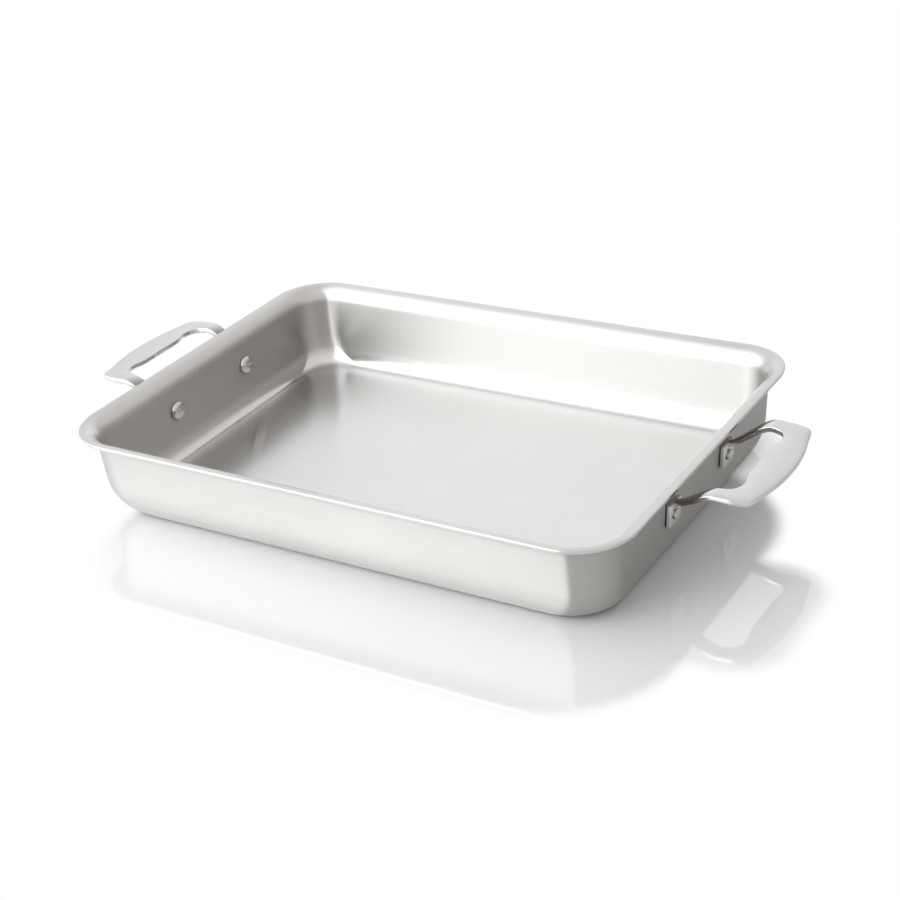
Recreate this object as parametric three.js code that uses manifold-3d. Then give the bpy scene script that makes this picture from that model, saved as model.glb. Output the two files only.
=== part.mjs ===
// Roasting pan: one pan pressed from sheet steel, two cast loop handles and four rivets.
// Millimetres, +Z up. The origin is under the middle of the floor, and +X points to the right handle.

import * as THREE from 'three';
import { mergeVertices } from 'three/addons/utils/BufferGeometryUtils.js';
import Module from 'manifold-3d';

// Pan, over the rim and through the pressed sheet
const RIM_LENGTH = 360;
const RIM_WIDTH = 255.4;
const RIM_CORNER_RADIUS = 33.7;
const PAN_HEIGHT = 53.3;
const SHEET = 2;
const RIM_LIP = 1; // level strip at the rim's edge
const RIM_BEND_RADIUS = 10.5; // from the lip into the wall, on the top face
const WALL_DRAFT = THREE.MathUtils.degToRad(4.3);
const FILLET_REACH = 8.4; // from the wall into the floor, half axis along the floor, on the inside
const FILLET_RISE = 21.7; // the same fillet's half axis up the wall
const FLOOR_CORNER_RADIUS = 32.6;

// Rivets, through the wall and a handle's pad
const RIVET_DROP = 23.5; // rim's top to the rivets' axes, measured on the inside of the wall
const SHANK_DIAMETER = 5.4;
const HEAD_DIAMETER = 11.6;
const HEAD_HEIGHT = 3.2;
const HEAD_EDGE = 0.5; // upright edge under the domed head
const TAIL_DIAMETER = 6.6;
const TAIL_HEIGHT = 1.6;
const TAIL_EDGE = 1.1;
const SHANK_CLEARANCE = 0.3; // all round, in the holes of the wall and the pad
const SEAT_GAP = 0.3; // between faces that rest on each other

// Handles, as seen from the side: pads on the wall, and a strap that climbs from them to the grip
const PAD_WIDTH = 14;
const PAD_HEIGHT = 14;
const PAD_THICKNESS = 2.5;
const PAD_LIFT = 0.9; // pad's middle above the rivet's axis
const ROOT_DROP = 16.2; // rim's top to the strap's top face at the pads
const GRIP_DROP = 1.6; // rim's top to the grip's top face, if the grip ran level to the rim's edge
const GRIP_FALL = 0.05; // drop of the grip's top face for each millimetre out
const CLIMB_START = -11; // the climb's ends, measured out from the rim's edge
const CLIMB_END = 19;
const ROOT_THICKNESS = 2.8;
const GRIP_THICKNESS = 3.7;
const EDGE_SOFTENING = 0.8;
const CROWN = 0.4; // the top face's rise along the strap's middle

// Handles, as seen from above: reaches are measured out from the rim's edge
const GRIP_REACH = 44.4; // outer edge, at the middle
const GRIP_WIDTH = 19.2; // at the middle
const GRIP_BOW = 4.6; // fall back of the outer edge at the shoulders
const HANDLE_WIDTH = 91; // over both legs
const LEG_WIDTH = 9.1; // beside the opening
const SHOULDER_SPACING = HANDLE_WIDTH - 24;
const SHOULDER_WIDTH = 12.6; // the grip's narrowest width, beside the shoulders
const RIVET_SPACING = HANDLE_WIDTH - 20;
const LEG_FLARE_END = 8; // where a leg has grown from its pad to its full width
const ROOT_WIDTH = 5; // a leg's width at its pad
const CORNER_RADIUS = 9; // the loop's outer corners
const OPENING_RADIUS = 10; // the opening's corners

// Steps in the faceted curves
const CORNER_STEPS = 10;
const BEND_STEPS = 7;
const FILLET_STEPS = 9;
const STRAP_STEPS = 76;
const ROUND_STEPS = 28;
const DOME_STEPS = 5;

const wasm = await Module();
wasm.setup();

// Closed geometry as a solid that can be joined and cut
function solidOf(geometry) {
  const bare = geometry.clone();
  bare.deleteAttribute('normal');
  bare.deleteAttribute('uv');
  const merged = mergeVertices(bare, 1e-4);
  return new wasm.Manifold(new wasm.Mesh({
    numProp: 3,
    vertProperties: new Float32Array(merged.attributes.position.array),
    triVerts: new Uint32Array(merged.index.array),
  }));
}

function geometryOf(solid) {
  const mesh = solid.getMesh();
  return geometryFrom(mesh.vertProperties, mesh.triVerts);
}

function geometryFrom(positions, triangles) {
  const geometry = new THREE.BufferGeometry();
  geometry.setAttribute('position', new THREE.BufferAttribute(new Float32Array(positions), 3));
  geometry.setIndex(Array.from(triangles));
  geometry.computeVertexNormals();
  return geometry;
}

// Skin over a row of rings with equal point counts, closed at each end by a fan about the ring's middle
function skinOver(rings) {
  const count = rings[0].length;
  const points = rings.flat();
  const triangles = [];
  for (let ring = 0; ring < rings.length - 1; ring += 1) {
    for (let step = 0; step < count; step += 1) {
      const here = ring * count + step;
      const beside = ring * count + (step + 1) % count;
      triangles.push(here, beside, beside + count, here, beside + count, here + count);
    }
  }
  const closeEnd = (ring, flipped) => {
    const middle = new THREE.Vector3();
    rings[ring].forEach((point) => middle.addScaledVector(point, 1 / count));
    points.push(middle);
    for (let step = 0; step < count; step += 1) {
      const here = ring * count + step;
      const beside = ring * count + (step + 1) % count;
      triangles.push(...(flipped ? [points.length - 1, here, beside] : [points.length - 1, beside, here]));
    }
  };
  closeEnd(0, false);
  closeEnd(rings.length - 1, true);
  return geometryFrom(points.flatMap((point) => point.toArray()), triangles);
}

// Pan section: one face of the sheet, from the rim's edge to the floor, as insets from the rim's edge.
// The depth is 0 on the top and inside, and the sheet's thickness on the underside and outside.
function wallInset(depth, height) {
  const bend = RIM_BEND_RADIUS - depth;
  const wallTop = PAN_HEIGHT - RIM_BEND_RADIUS + bend * Math.sin(WALL_DRAFT);
  return RIM_LIP + bend * Math.cos(WALL_DRAFT) + (wallTop - height) * Math.tan(WALL_DRAFT);
}

function panFace(depth) {
  const levels = [{ inset: 0, height: PAN_HEIGHT - depth }];
  const bend = RIM_BEND_RADIUS - depth;
  for (let step = 0; step <= BEND_STEPS; step += 1) {
    const turn = (Math.PI / 2 - WALL_DRAFT) * step / BEND_STEPS;
    levels.push({
      inset: RIM_LIP + bend * Math.sin(turn),
      height: PAN_HEIGHT - RIM_BEND_RADIUS + bend * Math.cos(turn),
    });
  }
  const reach = FILLET_REACH + depth;
  const rise = FILLET_RISE + depth;
  const middle = SHEET + FILLET_RISE;
  const start = Math.atan(Math.tan(WALL_DRAFT) * rise / reach);
  const startInset = wallInset(depth, middle - rise * Math.sin(start));
  const floorInset = startInset + reach * Math.cos(start);
  const wallCorner = RIM_CORNER_RADIUS - startInset;
  for (let step = 0; step <= FILLET_STEPS; step += 1) {
    const turn = THREE.MathUtils.lerp(start, Math.PI / 2, step / FILLET_STEPS);
    const inset = floorInset - reach * Math.cos(turn);
    const share = (inset - startInset) / (floorInset - startInset);
    levels.push({
      inset,
      height: middle - rise * Math.sin(turn),
      corner: THREE.MathUtils.lerp(wallCorner, FLOOR_CORNER_RADIUS, share),
    });
  }
  return levels;
}

// Rounded rectangle at one level of the section, anticlockwise from above
function panRing({ inset, height, corner = RIM_CORNER_RADIUS - inset }) {
  const alongX = RIM_LENGTH / 2 - inset - corner;
  const alongY = RIM_WIDTH / 2 - inset - corner;
  const ring = [];
  for (let quarter = 0; quarter < 4; quarter += 1) {
    const signX = quarter === 0 || quarter === 3 ? 1 : -1;
    const signY = quarter < 2 ? 1 : -1;
    for (let step = 0; step <= CORNER_STEPS; step += 1) {
      const turn = (quarter + step / CORNER_STEPS) * Math.PI / 2;
      ring.push(new THREE.Vector3(
        signX * alongX + corner * Math.cos(turn),
        signY * alongY + corner * Math.sin(turn),
        height,
      ));
    }
  }
  return ring;
}

// Rivet seats: x runs out through the wall from its inside face, and z runs up along the wall
const wallInside = RIM_LENGTH / 2 - wallInset(0, PAN_HEIGHT - RIVET_DROP);
const wallTilt = new THREE.Euler(0, WALL_DRAFT, 0);
const padInside = SHEET + SEAT_GAP;
const padOutside = padInside + PAD_THICKNESS;

function rivetSeat(side) {
  const place = new THREE.Vector3(wallInside, side * RIVET_SPACING / 2, PAN_HEIGHT - RIVET_DROP);
  return new THREE.Matrix4().compose(
    place,
    new THREE.Quaternion().setFromEuler(wallTilt),
    new THREE.Vector3(1, 1, 1),
  );
}

// Hole for a shank, long enough to pass the wall and the pad
function shankHole(side) {
  const hole = new THREE.CylinderGeometry(
    SHANK_DIAMETER / 2 + SHANK_CLEARANCE,
    SHANK_DIAMETER / 2 + SHANK_CLEARANCE,
    2 * (padOutside + HEAD_HEIGHT),
    ROUND_STEPS,
  );
  return hole.rotateZ(-Math.PI / 2).applyMatrix4(rivetSeat(side));
}

function panGeometry() {
  const outside = panFace(SHEET).reverse();
  const inside = panFace(0);
  let pan = solidOf(skinOver([...outside, ...inside].map(panRing)));
  for (const end of [0, Math.PI]) {
    for (const side of [-1, 1]) {
      pan = pan.subtract(solidOf(shankHole(side).rotateZ(end)));
    }
  }
  return geometryOf(pan);
}

// Half section of a domed rivet end, from its crown to the shank
function domeProfile({ diameter, height, edge, base, way }) {
  const profile = [];
  for (let step = 0; step <= DOME_STEPS; step += 1) {
    const turn = step / DOME_STEPS * Math.PI / 2;
    const rise = edge + (height - edge) * Math.cos(turn);
    profile.push(new THREE.Vector2(diameter / 2 * Math.sin(turn), base + way * rise));
  }
  return [...profile, new THREE.Vector2(diameter / 2, base), new THREE.Vector2(SHANK_DIAMETER / 2, base)];
}

// Rivet turned about its axis: domed head inside the pan, shank, and the set tail outside the pad
function rivetGeometry() {
  const head = domeProfile({
    diameter: HEAD_DIAMETER, height: HEAD_HEIGHT, edge: HEAD_EDGE, base: -SEAT_GAP, way: -1,
  });
  const tail = domeProfile({
    diameter: TAIL_DIAMETER, height: TAIL_HEIGHT, edge: TAIL_EDGE, base: padOutside + SEAT_GAP, way: 1,
  });
  const rivet = new THREE.LatheGeometry([...head, ...tail.reverse()], ROUND_STEPS);
  return rivet.rotateZ(-Math.PI / 2);
}

// Strap's top face from the side: height for a distance out from the rim's edge
function strapTop(out) {
  const climbed = THREE.MathUtils.smoothstep(out, CLIMB_START, CLIMB_END);
  const grip = PAN_HEIGHT - GRIP_DROP - GRIP_FALL * out;
  return THREE.MathUtils.lerp(PAN_HEIGHT - ROOT_DROP, grip, climbed);
}

function strapThickness(out) {
  const climbed = THREE.MathUtils.smoothstep(out, CLIMB_START, CLIMB_END);
  return THREE.MathUtils.lerp(ROOT_THICKNESS, GRIP_THICKNESS, climbed);
}

// Point in the strap: a place on its plan, and a depth square to its top face
function strapPoint(out, across, depth) {
  const nudge = 0.01;
  const slope = (strapTop(out + nudge) - strapTop(out - nudge)) / (2 * nudge);
  const length = Math.hypot(1, slope);
  return new THREE.Vector3(
    RIM_LENGTH / 2 + out + depth * slope / length,
    across,
    strapTop(out) - depth / length,
  );
}

// Strap's plan: matching points down the opening's edge and the outer edge, from a pad to the middle
function strapEdges() {
  const root = SEAT_GAP + PAD_THICKNESS / 2 - wallInset(SHEET, PAN_HEIGHT - ROOT_DROP);
  const rootOuter = (RIVET_SPACING + ROOT_WIDTH) / 2;
  const rootInner = (RIVET_SPACING - ROOT_WIDTH) / 2;
  const legOuter = HANDLE_WIDTH / 2;
  const legInner = legOuter - LEG_WIDTH;
  const shoulder = SHOULDER_SPACING / 2;
  const shoulderReach = GRIP_REACH - GRIP_BOW;
  const openingEnd = shoulderReach - SHOULDER_WIDTH;
  const slant = Math.SQRT1_2;
  const outer = [
    [root, rootOuter],
    [(root + LEG_FLARE_END) / 2, (rootOuter + legOuter) / 2],
    [LEG_FLARE_END, legOuter],
    [shoulderReach - CORNER_RADIUS, legOuter],
    [shoulderReach - CORNER_RADIUS * (1 - slant), legOuter - CORNER_RADIUS * (1 - slant)],
    [shoulderReach, shoulder],
    [GRIP_REACH - GRIP_BOW / 4, shoulder / 2],
    [GRIP_REACH, 0],
  ];
  const inner = [
    [root, rootInner],
    [(root + LEG_FLARE_END) / 2, (rootInner + legInner) / 2],
    [LEG_FLARE_END, legInner],
    [openingEnd - OPENING_RADIUS, legInner],
    [openingEnd - OPENING_RADIUS * (1 - slant), legInner - OPENING_RADIUS * (1 - slant)],
    [openingEnd, legInner - OPENING_RADIUS],
    [GRIP_REACH - GRIP_WIDTH, shoulder / 2],
    [GRIP_REACH - GRIP_WIDTH, 0],
  ];
  return [inner, outer].map((half) => {
    const mirrored = half.slice(0, -1).reverse().map(([out, across]) => [out, -across]);
    const points = [...half, ...mirrored].map(([out, across]) => new THREE.Vector3(out, across, 0));
    return new THREE.CatmullRomCurve3(points, false, 'centripetal');
  });
}

// Strap section at one step along the loop, with softened edges and a crowned top
function strapSection(innerPoint, outerPoint) {
  const width = innerPoint.distanceTo(outerPoint);
  const soft = EDGE_SOFTENING / width;
  const place = (share, depth) => {
    const plan = innerPoint.clone().lerp(outerPoint, share);
    return strapPoint(plan.x, plan.y, depth(strapThickness(plan.x)));
  };
  return [
    place(0, (thickness) => thickness - EDGE_SOFTENING),
    place(soft, (thickness) => thickness),
    place(1 - soft, (thickness) => thickness),
    place(1, (thickness) => thickness - EDGE_SOFTENING),
    place(1, () => EDGE_SOFTENING),
    place(1 - soft, () => 0),
    place(0.5, () => -CROWN),
    place(soft, () => 0),
    place(0, () => EDGE_SOFTENING),
  ];
}

function handleGeometry() {
  const [inner, outer] = strapEdges();
  const sections = [];
  for (let step = 0; step <= STRAP_STEPS; step += 1) {
    const along = step / STRAP_STEPS;
    sections.push(strapSection(inner.getPoint(along), outer.getPoint(along)));
  }
  let handle = solidOf(skinOver(sections));
  for (const side of [-1, 1]) {
    const pad = new THREE.BoxGeometry(PAD_THICKNESS, PAD_WIDTH, PAD_HEIGHT);
    pad.translate(padInside + PAD_THICKNESS / 2, 0, PAD_LIFT).applyMatrix4(rivetSeat(side));
    handle = handle.add(solidOf(pad)).subtract(solidOf(shankHole(side)));
  }
  return geometryOf(handle);
}

function namedMesh(name, geometry, material) {
  const mesh = new THREE.Mesh(geometry, material);
  mesh.name = name;
  return mesh;
}

function steel(color, roughness) {
  return new THREE.MeshStandardMaterial({ color, roughness, metalness: 1 });
}

const brushedSteel = () => steel(0xc9c7c3, 0.32);
const polishedSteel = () => steel(0xd6d5d3, 0.12);

const roastingPan = new THREE.Group();
roastingPan.add(namedMesh('pan_body', panGeometry(), brushedSteel()));

// Each end holds a handle and its two rivets. The left end is the right end turned half round.
for (const [end, turn] of [['right', 0], ['left', Math.PI]]) {
  const assembly = new THREE.Group();
  assembly.rotation.z = turn;
  assembly.add(namedMesh(`handle_${end}`, handleGeometry(), polishedSteel()));
  for (const side of [-1, 1]) {
    const place = side * Math.cos(turn) < 0 ? 'front' : 'back';
    const rivet = namedMesh(`rivet_${end}_${place}`, rivetGeometry(), polishedSteel());
    rivet.applyMatrix4(rivetSeat(side));
    assembly.add(rivet);
  }
  roastingPan.add(assembly);
}

export default roastingPan;
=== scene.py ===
# %% [markdown]
# # A roasting pan of satin stainless steel
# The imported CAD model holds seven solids: one pan pressed from sheet, two cast loop handles and four
# rivets. They have the right sizes, but they are faceted and have no finish. This lesson makes a finer
# piece for each solid in the same place, gives each its steel, and photographs the pan on a white table.

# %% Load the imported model
import math

import bmesh
import bpy
import numpy as np
from mathutils import Euler, Matrix, Quaternion, Vector


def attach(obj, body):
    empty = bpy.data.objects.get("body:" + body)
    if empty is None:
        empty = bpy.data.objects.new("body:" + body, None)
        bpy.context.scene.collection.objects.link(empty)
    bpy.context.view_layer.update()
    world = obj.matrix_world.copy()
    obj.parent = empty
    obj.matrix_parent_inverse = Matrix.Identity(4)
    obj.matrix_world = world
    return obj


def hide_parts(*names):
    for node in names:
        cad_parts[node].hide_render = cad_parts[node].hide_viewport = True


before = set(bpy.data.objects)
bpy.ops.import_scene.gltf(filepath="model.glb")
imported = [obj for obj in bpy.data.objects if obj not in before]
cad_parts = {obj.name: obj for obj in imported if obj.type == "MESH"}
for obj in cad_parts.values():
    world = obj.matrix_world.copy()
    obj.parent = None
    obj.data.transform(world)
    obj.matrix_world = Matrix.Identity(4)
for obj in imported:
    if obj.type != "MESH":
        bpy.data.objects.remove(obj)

MM = 0.001
QUARTER_TURN = math.pi / 2
HALF_TURN = math.pi
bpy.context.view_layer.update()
print("CAD nodes:", ", ".join(sorted(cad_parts)))

# %% [markdown]
# ## Three helpers
# Geometry trees and materials are both made of nodes, and each node is added the same way: choose its
# kind, set its options, then fill or link its inputs. One helper does that for all of them. Blender works
# with linear light, while colours are written as sRGB hex values, so a second helper turns one into the
# other. The third starts a material with no nodes.

# %% Add a node, read a colour, start a material
def add_node(tree, kind, inputs=None, **settings):
    node = tree.nodes.new(kind)
    for name, value in settings.items():
        setattr(node, name, value)
    for socket, value in (inputs or {}).items():
        if isinstance(value, bpy.types.NodeSocket):
            tree.links.new(value, node.inputs[socket])
        else:
            node.inputs[socket].default_value = value
    return node


def linear(hex_colour):
    channels = [int(hex_colour[start:start + 2], 16) / 255 for start in (1, 3, 5)]
    light = [c / 12.92 if c <= 0.04045 else ((c + 0.055) / 1.055) ** 2.4 for c in channels]
    return (*light, 1.0)


def empty_material(name):
    material = bpy.data.materials.new(name)
    material.use_nodes = True
    material.node_tree.nodes.clear()
    return material, material.node_tree


print("mid grey #808080 in linear light:", round(linear("#808080")[0], 3))

# %% [markdown]
# ## The satin steel of the pan
# The pan is 18/10 stainless steel sheet, ground with a fine belt before pressing. The grinding leaves
# hair-thin parallel lines. They are too fine to count, but they spread each reflection into a soft, satin
# sheen. A metal has no colour under its shine, so the base colour is the tint of its reflections. The lines
# follow the surface, so their noise reads a UV map in metres that the pan's own tree will write. The tree
# also writes how far the press has burnished each level: the floor and the rim are smoother and paler than
# the walls.

# %% Satin-ground stainless steel
LINE_WIDTH = 0.6 * MM  # real grinding lines are about 0.1 mm wide, which is too fine for the picture
LINE_LENGTH = 90 * MM
LINE_DEPTH = 0.1 * MM
LINE_STRENGTH = 0.002  # the lines hardly bend a reflection
CLOUD_SIZE = 90 * MM  # soft patches where the belt pressed harder, or a hand has wiped
CLOUD_SHARE = 0.4
NOISE_RANGE = (0.3, 0.7)  # most values of a noise lie between these
ACROSS_LINES = 0.25  # quarter of a turn: light spreads across the grinding lines, not along them
FLOOR_ROUGHNESS = 0.17  # the press pad burnishes the floor
WALL_ROUGHNESS = 0.37  # stretching roughens the walls
ROUGHNESS_CHANGE = (0.88, 1.12)
WALL_TINTS = ("#AEADAB", "#CAC9C7")
FLOOR_TINTS = ("#CECDCD", "#E6E5E5")


def satin_ground_steel():
    material, tree = empty_material("stainless_steel_satin_ground")
    brushed = add_node(tree, "ShaderNodeUVMap", uv_map="brushed")
    stretched = add_node(tree, "ShaderNodeMapping", {
        "Vector": brushed.outputs["UV"],
        "Scale": (1 / LINE_LENGTH, 1 / LINE_WIDTH, 1),
    })
    lines = add_node(tree, "ShaderNodeTexNoise", {
        "Vector": stretched.outputs["Vector"], "Scale": 1.0, "Detail": 3.0, "Roughness": 0.6,
    })
    place = add_node(tree, "ShaderNodeTexCoord")
    clouds = add_node(tree, "ShaderNodeTexNoise", {
        "Vector": place.outputs["Object"], "Scale": 1 / CLOUD_SIZE, "Detail": 3.0, "Roughness": 0.55,
    })
    both = add_node(tree, "ShaderNodeMix", {
        "Factor": CLOUD_SHARE, "A": lines.outputs["Fac"], "B": clouds.outputs["Fac"],
    })
    burnish = add_node(tree, "ShaderNodeAttribute", attribute_name="burnish").outputs["Fac"]
    ground = add_node(tree, "ShaderNodeMix", {
        "Factor": burnish, "A": WALL_ROUGHNESS, "B": FLOOR_ROUGHNESS,
    })
    change = add_node(tree, "ShaderNodeMapRange", {
        "Value": both.outputs["Result"], "From Min": NOISE_RANGE[0], "From Max": NOISE_RANGE[1],
        "To Min": ROUGHNESS_CHANGE[0], "To Max": ROUGHNESS_CHANGE[1],
    })
    roughness = add_node(tree, "ShaderNodeMath", {
        0: ground.outputs["Result"], 1: change.outputs["Result"],
    }, operation="MULTIPLY")
    steels = []
    for dark, pale in (WALL_TINTS, FLOOR_TINTS):
        steels.append(add_node(tree, "ShaderNodeMix", {
            "Factor": both.outputs["Result"], "A": linear(dark), "B": linear(pale),
        }, data_type="RGBA").outputs[2])
    tint = add_node(tree, "ShaderNodeMix", {
        "Factor": burnish, 6: steels[0], 7: steels[1],
    }, data_type="RGBA")
    bump = add_node(tree, "ShaderNodeBump", {
        "Strength": LINE_STRENGTH, "Distance": LINE_DEPTH, "Height": lines.outputs["Fac"],
    })
    along = add_node(tree, "ShaderNodeTangent", direction_type="UV_MAP", uv_map="brushed")
    steel = add_node(tree, "ShaderNodeBsdfPrincipled", {
        "Metallic": 1.0,
        "Base Color": tint.outputs[2],
        "Roughness": roughness.outputs["Value"],
        "Normal": bump.outputs["Normal"],
        "Anisotropic": 1.0,
        "Anisotropic Rotation": ACROSS_LINES,
        "Tangent": along.outputs["Tangent"],
    })
    add_node(tree, "ShaderNodeOutputMaterial", {"Surface": steel.outputs["BSDF"]})
    return material


pan_steel = satin_ground_steel()
print("material:", pan_steel.name, "with", len(pan_steel.node_tree.nodes), "nodes")

# %% [markdown]
# ## The polished steel of the handles and rivets
# The handles are cast in stainless steel and tumbled, then buffed until they shine. The casting leaves slow
# waves in the surface that the buffing doesn't remove, so reflections sway a little along the grip. The
# roots of the legs under the rim get a painted shade, a darker tint for the shade there. Rivets are
# cold-headed from wire and polished in the same way, with a face that is a little harder and flatter.

# %% Polished stainless steel
WAVE_SIZE = 9 * MM
WAVE_STRENGTH = 0.3
SCRATCH_SIZE = 0.8 * MM  # buffing marks, drawn about ten times wider than real ones so that they show
# The roots of the legs get a painted shade: it starts where the legs leave the pads and fades out along them
SHADED_ROOT_HEIGHT = (37.0 * MM, 38.4 * MM)  # the legs leave the pads between these heights
ROOT_SHADE_FADE = (184 * MM, 198 * MM)  # the painted shade on the legs fades out between these distances from the pan's middle


def polished_steel(name, dark, pale, smoothest, roughest, wave_height, root=None):
    material, tree = empty_material(name)
    place = add_node(tree, "ShaderNodeTexCoord")
    waves = add_node(tree, "ShaderNodeTexNoise", {
        "Vector": place.outputs["Object"], "Scale": 1 / WAVE_SIZE, "Detail": 1.0,
    })
    marks = add_node(tree, "ShaderNodeTexNoise", {
        "Vector": place.outputs["Object"], "Scale": 1 / SCRATCH_SIZE, "Detail": 4.0, "Roughness": 0.7,
    })
    roughness = add_node(tree, "ShaderNodeMapRange", {
        "Value": marks.outputs["Fac"], "From Min": NOISE_RANGE[0], "From Max": NOISE_RANGE[1],
        "To Min": smoothest, "To Max": roughest,
    })
    tint = add_node(tree, "ShaderNodeMix", {
        "Factor": waves.outputs["Fac"], "A": linear(dark), "B": linear(pale),
    }, data_type="RGBA").outputs[2]
    # Painted shade: a darker tint on the roots of the legs, from where they leave the pads until they come
    # out from under the rim
    if root:
        parts = add_node(tree, "ShaderNodeSeparateXYZ", {"Vector": place.outputs["Object"]})
        away = add_node(tree, "ShaderNodeMath", {0: parts.outputs["X"]}, operation="ABSOLUTE")
        past_pad = add_node(tree, "ShaderNodeMapRange", {
            "Value": parts.outputs["Z"], "From Min": SHADED_ROOT_HEIGHT[0], "From Max": SHADED_ROOT_HEIGHT[1],
        }, interpolation_type="SMOOTHSTEP")
        root_shade_share = add_node(tree, "ShaderNodeMapRange", {
            "Value": away.outputs["Value"], "From Min": ROOT_SHADE_FADE[0], "From Max": ROOT_SHADE_FADE[1],
            "To Min": past_pad.outputs["Result"], "To Max": 0.0,
        }, interpolation_type="SMOOTHSTEP")
        tint = add_node(tree, "ShaderNodeMix", {
            "Factor": root_shade_share.outputs["Result"], "A": tint, "B": linear(root),
        }, data_type="RGBA").outputs[2]
    bump = add_node(tree, "ShaderNodeBump", {
        "Strength": WAVE_STRENGTH, "Distance": wave_height, "Height": waves.outputs["Fac"],
    })
    steel = add_node(tree, "ShaderNodeBsdfPrincipled", {
        "Metallic": 1.0,
        "Base Color": tint,
        "Roughness": roughness.outputs["Result"],
        "Normal": bump.outputs["Normal"],
    })
    add_node(tree, "ShaderNodeOutputMaterial", {"Surface": steel.outputs["BSDF"]})
    return material


# The roots of the handles' legs get a painted shade in #807A72, a darker tint that stands in for the shade
# under the rim
handle_steel = polished_steel(
    "stainless_steel_cast_and_buffed", dark="#D2D1D2", pale="#DCDBDC",
    smoothest=0.06, roughest=0.1, wave_height=0.1 * MM, root="#807A72")
rivet_steel = polished_steel(
    "stainless_steel_headed_and_polished", dark="#CCCBC9", pale="#D6D5D3",
    smoothest=0.1, roughest=0.14, wave_height=0.03 * MM)
print("materials:", handle_steel.name, "and", rivet_steel.name)

# %% [markdown]
# ## The pan's section
# A press draws the pan from one flat sheet, so its shape is one section carried round a rounded rectangle.
# Going in from the rim's edge there is a level lip, a bend, a wall that leans in a little so that pans
# stack, a tall fillet and the flat floor. Each point of the section is kept as three numbers: how far it
# lies in from the rim's edge, the radius of the corners at that level, and its height.

# %% Section of the pressed sheet
RIM_LENGTH = 360 * MM
RIM_WIDTH = 255.4 * MM
RIM_CORNER_RADIUS = 33.7 * MM
PAN_HEIGHT = 53.3 * MM
SHEET = 2 * MM
RIM_LIP = 1 * MM
RIM_BEND_RADIUS = 10.5 * MM
RIM_EDGE_RADIUS = 0.35 * MM
EDGE_LEAN = 0.28 * MM  # a trimmed edge breaks off at a slant, so it faces a little downward
WALL_DRAFT = math.radians(4.3)
FILLET_REACH = 8.4 * MM
FILLET_RISE = 21.7 * MM
FLOOR_CORNER_RADIUS = 32.6 * MM
EDGE_STEPS = 6
BEND_STEPS = 25
WALL_SHARES = (0.04, 0.2, 0.4, 0.6, 0.8, 0.96)
FILLET_STEPS = 33
FLOOR_SHARES = (0, 0.01, 0.3, 0.65, 1)


def wall_inset(depth, height):
    bend = RIM_BEND_RADIUS - depth
    wall_top = PAN_HEIGHT - RIM_BEND_RADIUS + bend * math.sin(WALL_DRAFT)
    return RIM_LIP + bend * math.cos(WALL_DRAFT) + (wall_top - height) * math.tan(WALL_DRAFT)


def between(low, high, share):
    return low + (high - low) * share


def sheet_face(depth):
    bend = RIM_BEND_RADIUS - depth
    levels = []
    for turn in np.linspace(0, QUARTER_TURN - WALL_DRAFT, BEND_STEPS):
        inset = RIM_LIP + bend * math.sin(turn)
        height = PAN_HEIGHT - RIM_BEND_RADIUS + bend * math.cos(turn)
        levels.append((inset, RIM_CORNER_RADIUS - inset, height))
    wall_top = levels[-1][2]
    reach = FILLET_REACH + depth
    rise = FILLET_RISE + depth
    middle = SHEET + FILLET_RISE
    start = math.atan(math.tan(WALL_DRAFT) * rise / reach)
    wall_foot = middle - rise * math.sin(start)
    for share in WALL_SHARES:
        height = between(wall_top, wall_foot, share)
        inset = wall_inset(depth, height)
        levels.append((inset, RIM_CORNER_RADIUS - inset, height))
    start_inset = wall_inset(depth, wall_foot)
    floor_inset = start_inset + reach * math.cos(start)
    for tilt in np.linspace(WALL_DRAFT, QUARTER_TURN, FILLET_STEPS):
        turn = math.atan2(math.sin(tilt) * rise, math.cos(tilt) * reach)
        inset = floor_inset - reach * math.cos(turn)
        share = (inset - start_inset) / (floor_inset - start_inset)
        corner = between(RIM_CORNER_RADIUS - start_inset, FLOOR_CORNER_RADIUS, share)
        levels.append((inset, corner, middle - rise * math.sin(turn)))
    floor_height = levels[-1][2]
    for share in FLOOR_SHARES:
        inset = between(floor_inset, RIM_WIDTH / 2, share)
        levels.append((inset, FLOOR_CORNER_RADIUS * (1 - share), floor_height))
    return levels


def rim_edge():
    levels = []
    for turn in np.linspace(0, QUARTER_TURN, EDGE_STEPS):
        inset = RIM_EDGE_RADIUS * (1 - math.sin(turn))
        height = PAN_HEIGHT - RIM_EDGE_RADIUS * (1 - math.cos(turn))
        levels.append((inset, RIM_CORNER_RADIUS - inset, height))
    for turn in np.linspace(0, QUARTER_TURN, EDGE_STEPS):
        inset = EDGE_LEAN + RIM_EDGE_RADIUS * (1 - math.cos(turn))
        height = PAN_HEIGHT - SHEET + RIM_EDGE_RADIUS * (1 - math.sin(turn))
        levels.append((inset, RIM_CORNER_RADIUS - inset, height))
    return levels


inside = sheet_face(0)
section = inside[::-1] + rim_edge() + sheet_face(SHEET)
BURNISH_LOW = 7 * MM  # below this height the fillet is as smooth as the floor
BURNISH_HIGH = 13 * MM  # and above this one it is as rough as the wall
BEND_BURNISHED = 10.9 * MM  # this far in from the rim's edge the bend is smooth
BEND_GROUND = 11.5 * MM  # and from here it is as rough as the wall
UNDER_BEND_GROUND = 5 * MM  # the same under the rim
RIM_BURNISH = 0.65  # the rim is rubbed less than the floor


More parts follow.
